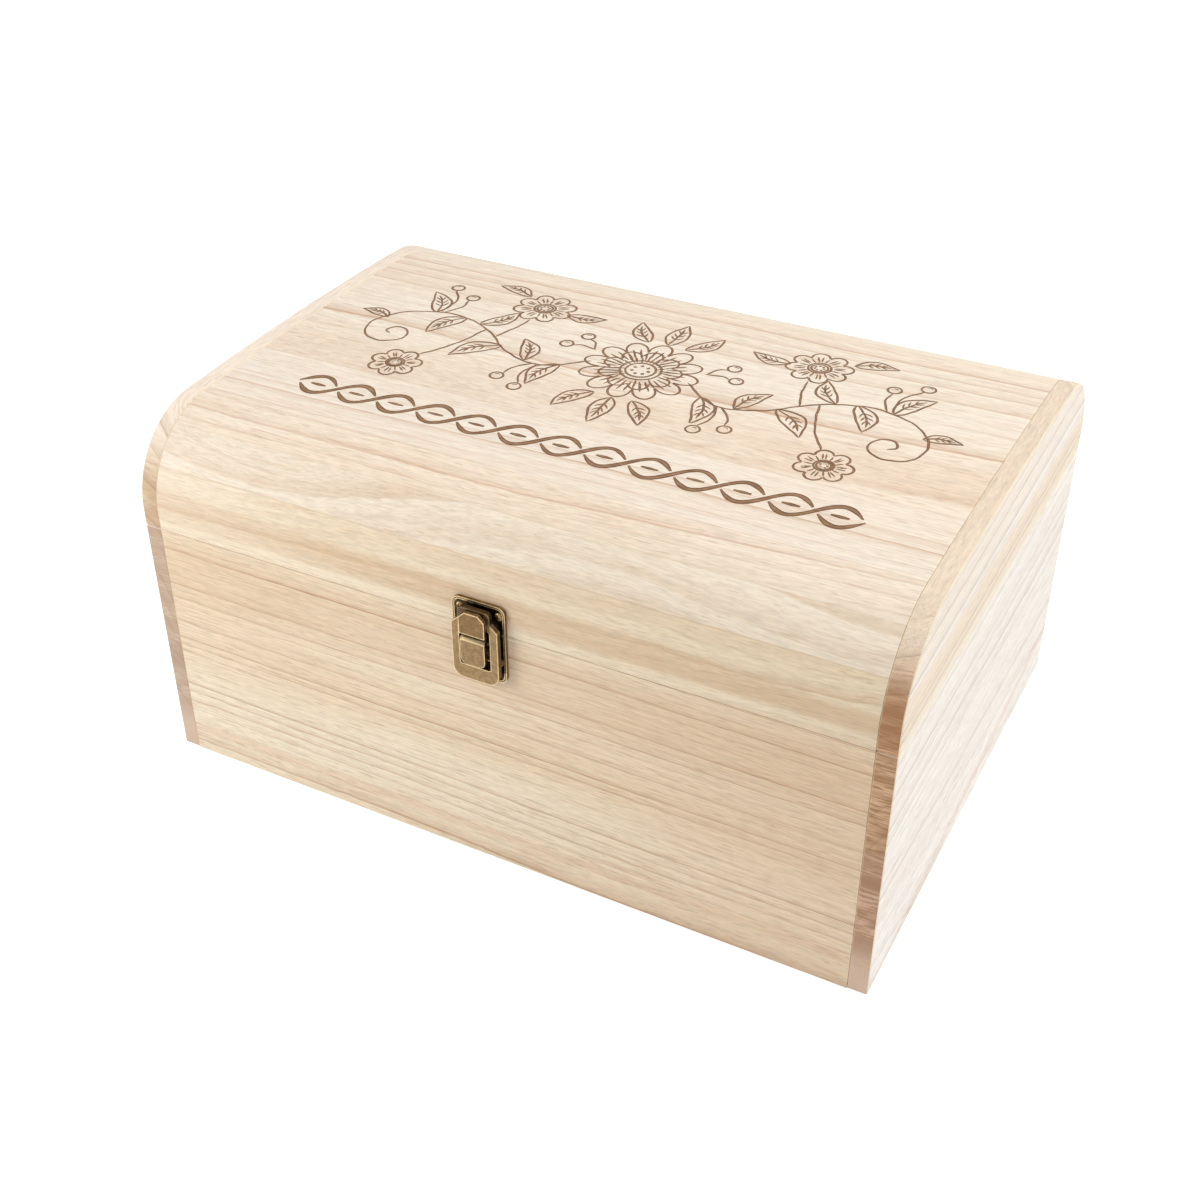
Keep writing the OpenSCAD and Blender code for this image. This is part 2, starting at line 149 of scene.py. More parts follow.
# A ramp of grey levels, each stop given as its place and level
def shadeRamp(tree, value, stops):
    node = addNode(tree, "ShaderNodeValToRGB", inputs={"Fac": value})
    ramp = node.color_ramp
    while len(ramp.elements) > 1:
        ramp.elements.remove(ramp.elements[-1])
    ramp.elements[0].position = stops[0][0]
    ramp.elements[0].color = (stops[0][1],) * 3 + (1,)
    for place, level in stops[1:]:
        ramp.elements.new(place).color = (level,) * 3 + (1,)
    return node.outputs["Color"]


# Noise with its own scale for each of the three parts
def stretchedNoise(tree, parts, scales, detail=2.0, roughness=0.5):
    scaled = [calc(tree, "MULTIPLY", part, scale) for part, scale in zip(parts, scales)]
    vector = addNode(tree, "ShaderNodeCombineXYZ", inputs=dict(enumerate(scaled))).outputs[0]
    noise = addNode(tree, "ShaderNodeTexNoise", inputs={
        "Vector": vector, "Scale": 1.0, "Detail": detail, "Roughness": roughness,
    })
    return noise.outputs["Fac"]


# A colour written as sRGB levels from 0 to 255
def rgb(red, green, blue):
    def linear(level):
        level = level / 255
        return level / 12.92 if level <= 0.04045 else ((level + 0.055) / 1.055) ** 2.4
    return (linear(red), linear(green), linear(blue), 1.0)


# Each board is glued up from staves, with the glue lines at these heights or depths. Every stave
# has its own heart, which is the middle of its tree, across the board and in height. Rings lie
# ringGap apart, tilt leans them along the board, wander and ripple are how far they stray, and soft
# is the share of them that is broad and faint.
timberLooks = {
    "top": {
        "grain": "x", "staveAxis": "y", "glueLines": (-0.092, -0.043),
        "hearts": ((-0.16, 0.02), (0.10, 0.06), (-0.05, 0.05)),
        "ringGap": (0.0040, 0.0054, 0.0066), "tilt": (0.014, -0.006, 0.006),
        "wander": 0.013, "ripple": 0.0010, "streaks": 0.12, "seed": 3.1,
        "pale": rgb(246, 232, 212), "warm": rgb(244, 223, 197), "line": rgb(200, 158, 122),
        "whiten": (0.12, 0.4, 0.2), "lineStrength": (1.0, 0.85, 1.0), "soft": 0.2, "bands": (),
    },
    "bend": {
        "grain": "x", "staveAxis": "z", "glueLines": (0.168,),
        "hearts": ((-0.100, 0.118), (-0.085, 0.10)),
        "ringGap": (0.0085, 0.0075), "tilt": (0.018, 0.012),
        "wander": 0.034, "ripple": 0.0012, "streaks": 0.10, "seed": 9.4,
        "pale": rgb(245, 229, 202), "warm": rgb(240, 220, 189), "line": rgb(208, 172, 134),
        "whiten": (0.0, 0.4), "lineStrength": (0.6, 0.45), "soft": 0.9,
        "bands": (
            {"middle": 0.1495, "half": 0.008, "slope": -0.012,
             "colour": rgb(216, 180, 140), "amount": 0.5},
        ),
        # painted highlight: the bend is whitened towards its left end
        "paintedLightDrift": {"start": -0.04, "end": -0.19, "colour": rgb(246, 236, 220), "amount": 0.26},
    },
    "front": {
        "grain": "x", "staveAxis": "z", "glueLines": (),
        "hearts": ((-0.24, -0.03),),
        "ringGap": (0.0036,), "tilt": (-0.003,),
        "wander": 0.005, "ripple": 0.0006, "streaks": 0.06, "seed": 5.7,
        "pale": rgb(245, 229, 202), "warm": rgb(240, 219, 189), "line": rgb(186, 138, 100),
        "whiten": (0.0,), "lineStrength": (1.0,), "soft": 0.12,
        "bands": (
            {"middle": 0.116, "half": 0.022, "slope": 0.0,
             "colour": rgb(228, 198, 164), "amount": 0.4},
            {"middle": 0.028, "half": 0.036, "slope": 0.0,
             "colour": rgb(250, 238, 216), "amount": 0.5},
            {"middle": 0.016, "half": 0.004, "slope": 0.012,
             "colour": rgb(224, 188, 156), "amount": 0.35},
        ),
        # painted shade: the board darkens towards its right end
        "paintedLightDrift": {"start": -0.02, "end": 0.20, "colour": rgb(218, 180, 142), "amount": 0.32},
    },
    "rightEnds": {
        "grain": "y", "staveAxis": "z", "glueLines": (0.083, 0.136),
        "hearts": ((0.30, -0.01), (0.31, 0.02), (0.26, -0.10)),
        "ringGap": (0.0055, 0.0052, 0.0046), "tilt": (-0.030, -0.004, 0.004),
        "wander": 0.008, "ripple": 0.0007, "streaks": 0.08, "seed": 1.3,
        # the pale and warm ground, kept on faces that look sideways, is partly paler wood and partly
        # painted sheen of the bright light on this side; strip is the tone of the other faces
        "pale": rgb(248, 243, 237), "warm": rgb(245, 238, 228), "line": rgb(196, 172, 150),
        "strip": rgb(238, 218, 194),
        "endPale": (rgb(214, 177, 149), rgb(226, 186, 148), rgb(230, 186, 144)),
        "endDark": (rgb(166, 124, 95), rgb(164, 121, 84), rgb(164, 115, 74)),
        "whiten": (0.0, 0.0, 0.0), "lineStrength": (0.85, 0.85, 1.0), "soft": 0.2,
        "bands": (
            {"middle": 0.150, "half": 0.016, "slope": 0.0,
             "colour": rgb(236, 212, 178), "amount": 0.6},
            {"middle": 0.180, "half": 0.020, "slope": 0.0,
             "colour": rgb(238, 218, 194), "amount": 0.4},
            {"middle": 0.012, "half": 0.006, "slope": 0.10,
             "colour": rgb(230, 208, 190), "amount": 0.5},
        ),
    },
    "leftEnds": {
        "grain": "y", "staveAxis": "z", "glueLines": (0.071, 0.136),
        "hearts": ((-0.28, -0.04), (-0.34, 0.03), (-0.30, -0.06)),
        "ringGap": (0.0052, 0.0056, 0.0048), "tilt": (0.016, -0.008, 0.010),
        "wander": 0.008, "ripple": 0.0007, "streaks": 0.12, "seed": 4.9,
        "pale": rgb(248, 240, 229), "warm": rgb(244, 232, 216), "line": rgb(208, 182, 158),
        "strip": rgb(247, 231, 212),
        "endPale": (rgb(211, 187, 165), rgb(221, 198, 174), rgb(228, 204, 172)),
        "endDark": (rgb(186, 158, 136), rgb(192, 164, 140), rgb(202, 170, 136)),
        "whiten": (0.0, 0.0, 0.0), "lineStrength": (0.8, 0.8, 0.9), "soft": 0.25,
        "bands": (
            {"middle": 0.050, "half": 0.010, "slope": -0.05,
             "colour": rgb(236, 214, 188), "amount": 0.4},
        ),
    },
    "ply": {
        "grain": "x", "staveAxis": "y", "glueLines": (),
        "hearts": ((0.3, -0.12),),
        "ringGap": (0.007,), "tilt": (0.0,),
        "wander": 0.012, "ripple": 0.0012, "streaks": 0.2, "seed": 7.7,
        "pale": rgb(232, 210, 178), "warm": rgb(222, 196, 162), "line": rgb(190, 150, 114),
        "whiten": (0.0,), "lineStrength": (0.6,), "soft": 0.5, "bands": (),
    },
}

# How many marks of each kind lie in a metre
grainScales = {
    "wander": (3.2, 9.0, 9.0),        # along, across and up the board
    "ripple": (24.0, 30.0, 30.0),
    "shiver": (130.0, 90.0, 90.0),
    "tone": (2.2, 20.0, 20.0),
    "uneven": (60.0, 0.3, 0.0),       # out from the heart, then along
    "fade": (5.0, 160.0, 0.0),        # along, then out from the heart
    "hairs": (20.0, 980.0, 8.0),
    "streaks": (11.0, 260.0, 4.0),
    "fibre": (120.0, 1500.0, 500.0),
    "pores": (90.0, 1900.0, 700.0),
    "endWeave": (70.0, 0.0, 720.0),   # to the right, back and up
    "endBands": (20.0, 0.0, 110.0),
}

# What all the timbers share: each range gives where a mark starts and is full, and then, where
# there are four numbers, its least and greatest strength
timberMarks = {
    "staveShift": 3.3,
    "unevenRings": 3.0,
    "shiver": 0.5,                    # share of the ripple
    "softening": 0.6,                 # how far a soft ring's thin line is weakened
    "ringChance": (0.1, 0.95, 0.14, 1.0),
    "ringFade": (0.3, 0.6, 0.6, 1.0),
    "crispRing": ((0.0, 0.0), (0.02, 0.9), (0.07, 1.0), (0.13, 0.32), (0.45, 0.08), (0.97, 0.0)),
    "broadRing": ((0.0, 0.1), (0.12, 1.0), (0.4, 0.7), (0.7, 0.12), (1.0, 0.05)),
    "warmPatches": (0.3, 0.7),
    "whitened": rgb(246, 237, 226),
    "bandStray": 0.006,
    "bandCore": 0.4,                  # share of a band's half width that is at full strength
    "streaks": (0.48, 0.75),
    "hairs": (0.5, 0.78, 0.0, 0.36),
    "pores": (0.6, 0.72),
    "poreDepth": 0.35,
    "fibre": (0.25, 0.75, 0.9, 1.08),
    "glueLine": {"half": 0.0005, "core": 0.0001, "amount": 0.3},
    "roughness": (0.2, 0.8, 0.5, 0.66),
    "specular": 0.35,
    "hairHeight": 0.6,
    "bumpStrength": 0.15,
    "bumpDepth": 0.0003,
}

# What the cut ends share
endMarks = {
    "facing": (0.6, 0.99),            # how squarely a face looks along the grain
    "cover": 0.97,
    "wavy": 0.004,
    "weave": (0.44, 0.6, 0.0, 0.95),
    "bands": (0.3, 0.68),
    "line": {"colour": rgb(136, 98, 70), "amount": 0.55},
    "foot": {"from": 0.04, "to": 0.008, "colour": rgb(222, 196, 174), "amount": 0.85},
    "strip": (0.9, 0.5),
    # edge is a painted highlight along the eased edges
    "edge": {
        "colour": rgb(250, 236, 196), "amount": 0.75, "turning": (0.3, 0.6), "notFlat": (0.98, 0.8),
    },
}


# One value or colour for each stave: steps says which glue lines this point lies beyond
def pick(tree, steps, values):
    result = values[0]
    for step, low, high in zip(steps, values, values[1:]):
        result = calc(tree, "MULTIPLY_ADD", step, high - low, result)
    return result


def pickColour(tree, steps, colours):
    result = colours[0]
    for step, colour in zip(steps, colours[1:]):
        result = blendColours(tree, step, result, colour)
    return result


# Distance from the heart, which wanders along the board
def ringRadius(tree, look, steps, along, across, z, alongStave, ripple):
    fromHeart = []
    for part, places in zip((across, z), zip(*look["hearts"])):
        gap = calc(tree, "SUBTRACT", part, pick(tree, steps, places))
        fromHeart.append(calc(tree, "POWER", gap, 2.0))
    radius = calc(tree, "SQRT", calc(tree, "ADD", *fromHeart))
    wander = stretchedNoise(tree, (alongStave, across, z), grainScales["wander"], 1.5)
    shiver = stretchedNoise(tree, (alongStave, across, z), grainScales["shiver"], 1.0)
    radius = calc(tree, "MULTIPLY_ADD", wander, look["wander"], radius)
    radius = calc(tree, "MULTIPLY_ADD", ripple, look["ripple"], radius)
    radius = calc(tree, "MULTIPLY_ADD", shiver, timberMarks["shiver"] * look["ripple"], radius)
    tilt = pick(tree, steps, [-tilt for tilt in look["tilt"]])
    return calc(tree, "MULTIPLY_ADD", along, tilt, radius)


# Growth rings: a thin late-wood line, sharp on one side and fading out on the other
def growthRings(tree, look, steps, radius, z, alongStave):
    uneven = stretchedNoise(tree, (radius, alongStave, z), grainScales["uneven"], 1.0)
    phase = calc(tree, "DIVIDE", radius, pick(tree, steps, look["ringGap"]))
    phase = calc(tree, "MULTIPLY_ADD", uneven, timberMarks["unevenRings"], phase)
    ring = calc(tree, "FRACT", phase)
    chance = addNode(tree, "ShaderNodeTexWhiteNoise", {"noise_dimensions": "1D"}, {
        "W": calc(tree, "FLOOR", phase),
    })
    strength = spread(tree, chance.outputs["Value"], *timberMarks["ringChance"])
    fade = stretchedNoise(tree, (alongStave, radius, z), grainScales["fade"], 2.0)
    strength = calc(tree, "MULTIPLY", strength, spread(tree, fade, *timberMarks["ringFade"]))
    crisp = shadeRamp(tree, ring, timberMarks["crispRing"])
    broad = shadeRamp(tree, ring, timberMarks["broadRing"])
    soft = look["soft"]
    crisp = calc(tree, "MULTIPLY", crisp, 1 - timberMarks["softening"] * soft)
    line = calc(tree, "MULTIPLY_ADD", broad, soft, crisp)
    line = calc(tree, "MULTIPLY", line, strength)
    line = calc(tree, "MULTIPLY", line, pick(tree, steps, look["lineStrength"]))
    return calc(tree, "MINIMUM", line, 1.0)


# The board's ground colour: pale and warm patches, broad bands and, on some boards, painted light that
# brightens or shades it from end to end
def groundColour(tree, look, steps, along, staveHeight, tone):
    patches = spread(tree, tone, *timberMarks["warmPatches"])
    colour = blendColours(tree, patches, look["pale"], look["warm"])
    colour = blendColours(tree, pick(tree, steps, look["whiten"]), colour, timberMarks["whitened"])
    stray, core = timberMarks["bandStray"], timberMarks["bandCore"]
    for band in look["bands"]:
        height = calc(tree, "MULTIPLY_ADD", along, -band["slope"], staveHeight)
        height = calc(tree, "SUBTRACT", height, band["middle"] + 0.5 * stray)
        away = calc(tree, "ABSOLUTE", calc(tree, "MULTIPLY_ADD", tone, stray, height))
        inside = spread(tree, away, band["half"], core * band["half"], 0.0, band["amount"])
        colour = blendColours(tree, inside, colour, band["colour"])
    if "paintedLightDrift" in look:
        paintedLightDrift = look["paintedLightDrift"]
        share = spread(tree, along, paintedLightDrift["start"], paintedLightDrift["end"], 0.0, paintedLightDrift["amount"])
        colour = blendColours(tree, share, colour, paintedLightDrift["colour"])
    return colour


# End grain drinks more light and shows fine wavy bands
def endGrainColour(tree, look, steps, place, ripple, line):
    x, y, z = place
    wavy = calc(tree, "MULTIPLY_ADD", ripple, endMarks["wavy"], z)
    weave = stretchedNoise(tree, (x, y, wavy), grainScales["endWeave"], 2.0, 0.7)
    bands = stretchedNoise(tree, place, grainScales["endBands"], 2.0)
    pale = pickColour(tree, steps, look["endPale"])
    dark = pickColour(tree, steps, look["endDark"])
    colour = blendColours(tree, spread(tree, bands, *endMarks["bands"]), pale, dark)
    colour = blendColours(tree, spread(tree, weave, *endMarks["weave"]), colour, dark)
    lineShare = calc(tree, "MULTIPLY", line, endMarks["line"]["amount"])
    colour = blendColours(tree, lineShare, colour, endMarks["line"]["colour"])
    foot = endMarks["foot"]
    nearFoot = spread(tree, z, foot["from"], foot["to"], 0.0, foot["amount"])
    return blendColours(tree, nearFoot, colour, foot["colour"])


def makeTimber(name, look):
    material, tree = startMaterial(name)
    spot = addNode(tree, "ShaderNodeTexCoord")
    place = addNode(tree, "ShaderNodeSeparateXYZ", inputs={0: spot.outputs["Object"]}).outputs
    facing = addNode(tree, "ShaderNodeSeparateXYZ", inputs={0: spot.outputs["Normal"]}).outputs
    x, y, z = place
    along, across = (x, y) if look["grain"] == "x" else (y, x)
    alongFacing, acrossFacing = facing[:2] if look["grain"] == "x" else (facing[1], facing[0])
    staveHeight = y if look["staveAxis"] == "y" else z

    steps = [calc(tree, "GREATER_THAN", staveHeight, glueLine) for glueLine in look["glueLines"]]
    shift = timberMarks["staveShift"]
    apart = [look["seed"] + shift * number for number in range(len(steps) + 1)]
    alongStave = calc(tree, "ADD", along, pick(tree, steps, apart))
    ripple = stretchedNoise(tree, (alongStave, across, z), grainScales["ripple"], 3.0)
    radius = ringRadius(tree, look, steps, along, across, z, alongStave, ripple)
    line = growthRings(tree, look, steps, radius, z, alongStave)

    tone = stretchedNoise(tree, (alongStave, across, z), grainScales["tone"], 3.0)
    flow = (alongStave, radius, calc(tree, "ADD", across, z))
    hairs = stretchedNoise(tree, flow, grainScales["hairs"], 3.0, 0.65)
    streaks = stretchedNoise(tree, flow, grainScales["streaks"], 2.0, 0.6)
    fibre = stretchedNoise(tree, flow, grainScales["fibre"], 2.0, 0.7)
    pores = stretchedNoise(tree, flow, grainScales["pores"], 1.0)
    pores = spread(tree, pores, *timberMarks["pores"])

    colour = groundColour(tree, look, steps, along, staveHeight, tone)
    sideways = calc(tree, "ABSOLUTE", acrossFacing)
    # faces that do not look sideways take the strip tone; the sideways faces keep a paler ground,
    # partly painted sheen
    if "strip" in look:
        colour = blendColours(tree, spread(tree, sideways, *endMarks["strip"]), colour, look["strip"])
    for share in (
        line,
        spread(tree, streaks, *timberMarks["streaks"], 0.0, look["streaks"]),
        spread(tree, hairs, *timberMarks["hairs"]),
        calc(tree, "MULTIPLY", pores, timberMarks["poreDepth"]),
    ):
        colour = blendColours(tree, share, colour, look["line"])
    colour = blendColours(tree, 1.0, colour, spread(tree, fibre, *timberMarks["fibre"]), "MULTIPLY")
    seam = timberMarks["glueLine"]
    for glueLine in look["glueLines"]:
        offLine = calc(tree, "ABSOLUTE", calc(tree, "SUBTRACT", staveHeight, glueLine))
        onLine = spread(tree, offLine, seam["half"], seam["core"], 0.0, seam["amount"])
        colour = blendColours(tree, onLine, colour, look["line"])

    if "endPale" in look:
        endGrain = spread(tree, calc(tree, "ABSOLUTE", alongFacing), *endMarks["facing"])
        endTone = endGrainColour(tree, look, steps, place, ripple, line)
        endGrain = calc(tree, "MULTIPLY", endGrain, endMarks["cover"])
        colour = blendColours(tree, endGrain, colour, endTone)
        # a painted highlight along the eased edges of the ends
        edge = endMarks["edge"]
        turning = spread(tree, sideways, *edge["turning"])
        notFlat = spread(tree, sideways, *edge["notFlat"])
        arrisHighlight = calc(tree, "MULTIPLY", calc(tree, "MULTIPLY", turning, notFlat), edge["amount"])
        colour = blendColours(tree, arrisHighlight, colour, edge["colour"])

    height = calc(tree, "SUBTRACT", calc(tree, "MULTIPLY", hairs, timberMarks["hairHeight"]), pores)
    bump = addNode(tree, "ShaderNodeBump", inputs={
        "Strength": timberMarks["bumpStrength"], "Distance": timberMarks["bumpDepth"], "Height": height,
    })
    surface = addNode(tree, "ShaderNodeBsdfPrincipled", inputs={
        "Base Color": colour, "Roughness": spread(tree, hairs, *timberMarks["roughness"]),
        "Specular IOR Level": timberMarks["specular"], "Normal": bump.outputs[0],
    })
    addNode(tree, "ShaderNodeOutputMaterial", inputs={"Surface": surface.outputs[0]})
    return material


# Edges are rubbed bright and given a painted highlight: the edge setting is how wide, the wear
# setting how strongly. The hollows get painted shade, as dark as the hollow setting says. Tarnish,
# where no hand rubs, and painted shade darken parts nearer the timber than a depth that face the front
# enough; painted shade darkens parts above a height.
brassLooks = {
    "plateBrass": {
        "dark": rgb(46, 35, 20), "face": rgb(138, 110, 76), "rubbedHighlight": rgb(244, 220, 172),
        "wearAndHighlight": 0.85, "edge": 0.0010, "roughness": (0.3, 0.46), "hollowShade": 0.6,
        "tarnishAndShadeDepth": (-0.1390, -0.1383), "tarnishAndShadeFacing": (0.3, 0.8, 0.1, 1.0),
        "paintedShadeHeight": None,
    },
    "ringBrass": {
        "dark": rgb(60, 46, 29), "face": rgb(154, 129, 93), "rubbedHighlight": rgb(246, 222, 174),
        "wearAndHighlight": 0.8, "edge": 0.0010, "roughness": (0.3, 0.46), "hollowShade": 0.7,
        "tarnishAndShadeDepth": (-0.1418, -0.1406), "tarnishAndShadeFacing": (0.3, 0.8, 0.6, 1.0),
        "paintedShadeHeight": (0.1425, 0.1448),
    },
    "leverBrass": {
        "dark": rgb(62, 48, 30), "face": rgb(150, 124, 90), "rubbedHighlight": rgb(246, 222, 174),
        "wearAndHighlight": 0.7, "edge": 0.0010, "roughness": (0.3, 0.46), "hollowShade": 0.7,
        "tarnishAndShadeDepth": (-0.1432, -0.1418), "tarnishAndShadeFacing": (0.3, 0.8, 0.6, 1.0),
        "paintedShadeHeight": (0.1335, 0.1345),
    },
    "latchScrewBrass": {
        "dark": rgb(18, 13, 8), "face": rgb(150, 122, 86), "rubbedHighlight": rgb(206, 178, 130),
        "wearAndHighlight": 0.2, "edge": 0.0002, "roughness": (0.34, 0.5), "hollowShade": 0.95,
        "tarnishAndShadeDepth": (-0.13885, -0.13865), "tarnishAndShadeFacing": (0.93, 0.98, 0.0, 1.0),
        "paintedShadeHeight": None,
    },
    "shadedScrewBrass": {
        "dark": rgb(26, 19, 11), "face": rgb(88, 69, 44), "rubbedHighlight": rgb(176, 146, 100),
        "wearAndHighlight": 0.2, "edge": 0.0002, "roughness": (0.34, 0.5), "hollowShade": 0.8,
        "tarnishAndShadeDepth": None, "tarnishAndShadeFacing": None, "paintedShadeHeight": None,
    },
    "hingeBrass": {
        "dark": rgb(62, 50, 32), "face": rgb(146, 120, 82), "rubbedHighlight": rgb(230, 202, 148),
        "wearAndHighlight": 0.35, "edge": 0.0005, "roughness": (0.3, 0.48), "hollowShade": 0.6,
        "tarnishAndShadeDepth": None, "tarnishAndShadeFacing": None, "paintedShadeHeight": None,
    },
}

# What all the brasses share
brassMarks = {
    "blotchScale": 420.0,
    "blotches": (0.35, 0.68),
    "evenness": 0.6,        # how far the blotches are drawn back to the face's colour
    "gritScale": 2200.0,
    "speckle": (0.3, 0.7, 0.86, 1.12),
    "rubGrit": (0.25, 0.6, 0.6, 1.0),
    "turning": (0.22, 0.5),
    "notFlat": (0.992, 0.93),
    "cornerTurn": (0.998, 0.91),
    "hollowReach": 0.0022,
    "hollow": (0.65, 0.15),
    "open": (0.25, 0.6),
    "dull": (0.3, 0.7),
    "samples": 12,
    "deepTarnishAndShade": 0.92,
    "highPaintedShade": 0.75,
    "bumpStrength": 0.15,
    "bumpDepth": 0.0001,
}


# Where a piece is worn and given a painted highlight: on faces that turn away from the front, and along
# its corners
def wornAndLitParts(tree, facing, edge):
    turning = spread(tree, facing, *brassMarks["turning"])
    rounded = calc(tree, "MULTIPLY", turning, spread(tree, facing, *brassMarks["notFlat"]))
    corner = addNode(tree, "ShaderNodeBevel", {"samples": brassMarks["samples"]}, {"Radius": edge})
    plain = addNode(tree, "ShaderNodeNewGeometry")
    alike = addNode(tree, "ShaderNodeVectorMath", {"operation": "DOT_PRODUCT"}, {
        0: corner.outputs[0], 1: plain.outputs["Normal"],
    })
    cornered = spread(tree, alike.outputs["Value"], *brassMarks["cornerTurn"])
    return calc(tree, "MAXIMUM", rounded, cornered)


def makeBrass(name, look):
    material, tree = startMaterial(name)
    spot = addNode(tree, "ShaderNodeTexCoord")
    place = addNode(tree, "ShaderNodeSeparateXYZ", inputs={0: spot.outputs["Object"]}).outputs
    normal = addNode(tree, "ShaderNodeSeparateXYZ", inputs={0: spot.outputs["Normal"]}).outputs
    facing = calc(tree, "ABSOLUTE", normal[1])
    blotch = addNode(tree, "ShaderNodeTexNoise", inputs={
        "Vector": spot.outputs["Object"], "Scale": brassMarks["blotchScale"],
        "Detail": 4.0, "Roughness": 0.6,
    }).outputs["Fac"]
    grit = addNode(tree, "ShaderNodeTexNoise", inputs={
        "Vector": spot.outputs["Object"], "Scale": brassMarks["gritScale"], "Detail": 2.0,
    }).outputs["Fac"]
    wornAndLit = wornAndLitParts(tree, facing, look["edge"])
    hollow = addNode(tree, "ShaderNodeAmbientOcclusion", {"samples": brassMarks["samples"]}, {
        "Distance": brassMarks["hollowReach"],
    }).outputs["AO"]

    blotches = spread(tree, blotch, *brassMarks["blotches"])
    colour = blendColours(tree, blotches, look["dark"], look["face"])
    colour = blendColours(tree, brassMarks["evenness"], colour, look["face"])
    colour = blendColours(tree, 1.0, colour, spread(tree, grit, *brassMarks["speckle"]), "MULTIPLY")
    # tarnish and painted shade on the deeper parts that face the front
    if look["tarnishAndShadeDepth"]:
        tarnishAndShade = spread(tree, place[1], *look["tarnishAndShadeDepth"], 0.0, brassMarks["deepTarnishAndShade"])
        tarnishAndShade = calc(tree, "MULTIPLY", tarnishAndShade, spread(tree, facing, *look["tarnishAndShadeFacing"]))
        colour = blendColours(tree, tarnishAndShade, colour, look["dark"])
    # painted shade in the hollows, found by ambient occlusion
    paintedHollowShade = spread(tree, hollow, *brassMarks["hollow"], 0.0, look["hollowShade"])
    colour = blendColours(tree, paintedHollowShade, colour, look["dark"])
    # painted highlight and rubbed wear on the edges and on the faces turning away from the front
    rubAndHighlight = calc(tree, "MULTIPLY", wornAndLit, spread(tree, grit, *brassMarks["rubGrit"]))
    rubAndHighlight = calc(tree, "MULTIPLY", rubAndHighlight, spread(tree, hollow, *brassMarks["open"], 0.0, look["wearAndHighlight"]))
    colour = blendColours(tree, rubAndHighlight, colour, look["rubbedHighlight"])
    # painted shade on the parts above a height, under the parts over them
    if look["paintedShadeHeight"]:
        high = spread(tree, place[2], *look["paintedShadeHeight"], 0.0, brassMarks["highPaintedShade"])
        colour = blendColours(tree, high, colour, look["dark"])

    bump = addNode(tree, "ShaderNodeBump", inputs={
        "Strength": brassMarks["bumpStrength"], "Distance": brassMarks["bumpDepth"], "Height": blotch,
    })
    surface = addNode(tree, "ShaderNodeBsdfPrincipled", inputs={
        "Base Color": colour, "Metallic": 1.0, "Normal": bump.outputs[0],
        "Roughness": spread(tree, blotch, *brassMarks["dull"], *look["roughness"]),
    })
    addNode(tree, "ShaderNodeOutputMaterial", inputs={"Surface": surface.outputs[0]})
    return material


# each line's rim is darker: partly deeper scorch, partly painted shade of the groove's walls
scorchLooks = {
    "scorchedFace": {"dark": rgb(132, 98, 68), "light": rgb(168, 134, 104)},
    "scorchAndGrooveShadeRim": {"dark": rgb(96, 66, 42), "light": rgb(134, 98, 68)},
}
scorchMarks = {
    "grainScale": (60.0, 2200.0, 2200.0),
    "blotchScale": (220.0, 220.0, 220.0),
    "grain": (0.3, 0.7),
    "blotch": (0.3, 0.7, 0.85, 1.12),
    "roughness": (0.2, 0.8, 0.7, 0.85),
    "specular": 0.2,
    "bumpStrength": 0.3,
    "bumpDepth": 0.0002,
}


# Timber browned by heat, with the grain still showing through
def makeScorch(name, look):
    material, tree = startMaterial(name)
    spot = addNode(tree, "ShaderNodeTexCoord")
    parts = addNode(tree, "ShaderNodeSeparateXYZ", inputs={0: spot.outputs["Object"]}).outputs
    grain = stretchedNoise(tree, parts, scorchMarks["grainScale"], 3.0, 0.6)
    blotch = stretchedNoise(tree, parts, scorchMarks["blotchScale"], 2.0)
    colour = blendColours(tree, spread(tree, grain, *scorchMarks["grain"]), look["dark"], look["light"])
    colour = blendColours(tree, 1.0, colour, spread(tree, blotch, *scorchMarks["blotch"]), "MULTIPLY")
    bump = addNode(tree, "ShaderNodeBump", inputs={
        "Strength": scorchMarks["bumpStrength"], "Distance": scorchMarks["bumpDepth"], "Height": grain,
    })
    surface = addNode(tree, "ShaderNodeBsdfPrincipled", inputs={
        "Base Color": colour, "Roughness": spread(tree, grain, *scorchMarks["roughness"]),
        "Specular IOR Level": scorchMarks["specular"], "Normal": bump.outputs[0],
    })
    addNode(tree, "ShaderNodeOutputMaterial", inputs={"Surface": surface.outputs[0]})
    return material


materials = {name: makeTimber(name + "Timber", look) for name, look in timberLooks.items()}
materials.update({name: makeBrass(name, look) for name, look in brassLooks.items()})
materials.update({name: makeScorch(name, look) for name, look in scorchLooks.items()})
print("materials made:", len(materials))

# The carried-over pieces: what each is made of and how far its edges are eased
finishes = {
    "lid_top_board": ("top", 0.0003),
    "lid_front_board": ("bend", 0.00025),
    "lid_back_board": ("bend", 0.0003),
    "base_front_board": ("front", 0.00025),
    "base_back_board": ("front", 0.0003),
    "base_floor": ("ply", 0.0004),
    "lid_left_end": ("leftEnds", 0.0008),
    "lid_right_end": ("rightEnds", 0.0008),
    "latch_base_plate": ("plateBrass", 0.0005),
    "latch_keeper": ("plateBrass", 0.0005),
    "latch_lever": ("leverBrass", 0.0006),
    "latch_ring": ("ringBrass", 0.0007),
    "latch_base_screws": ("shadedScrewBrass", 0.0001),
    "latch_keeper_screws": ("latchScrewBrass", 0.0001),
    "left_hinge_base_leaf": ("hingeBrass", 0.00015),
    "left_hinge_lid_leaf": ("hingeBrass", 0.00015),
    "right_hinge_base_leaf": ("hingeBrass", 0.00015),
    "right_hinge_lid_leaf": ("hingeBrass", 0.00015),
}
plainFinish = ("hingeBrass", 0.0001)
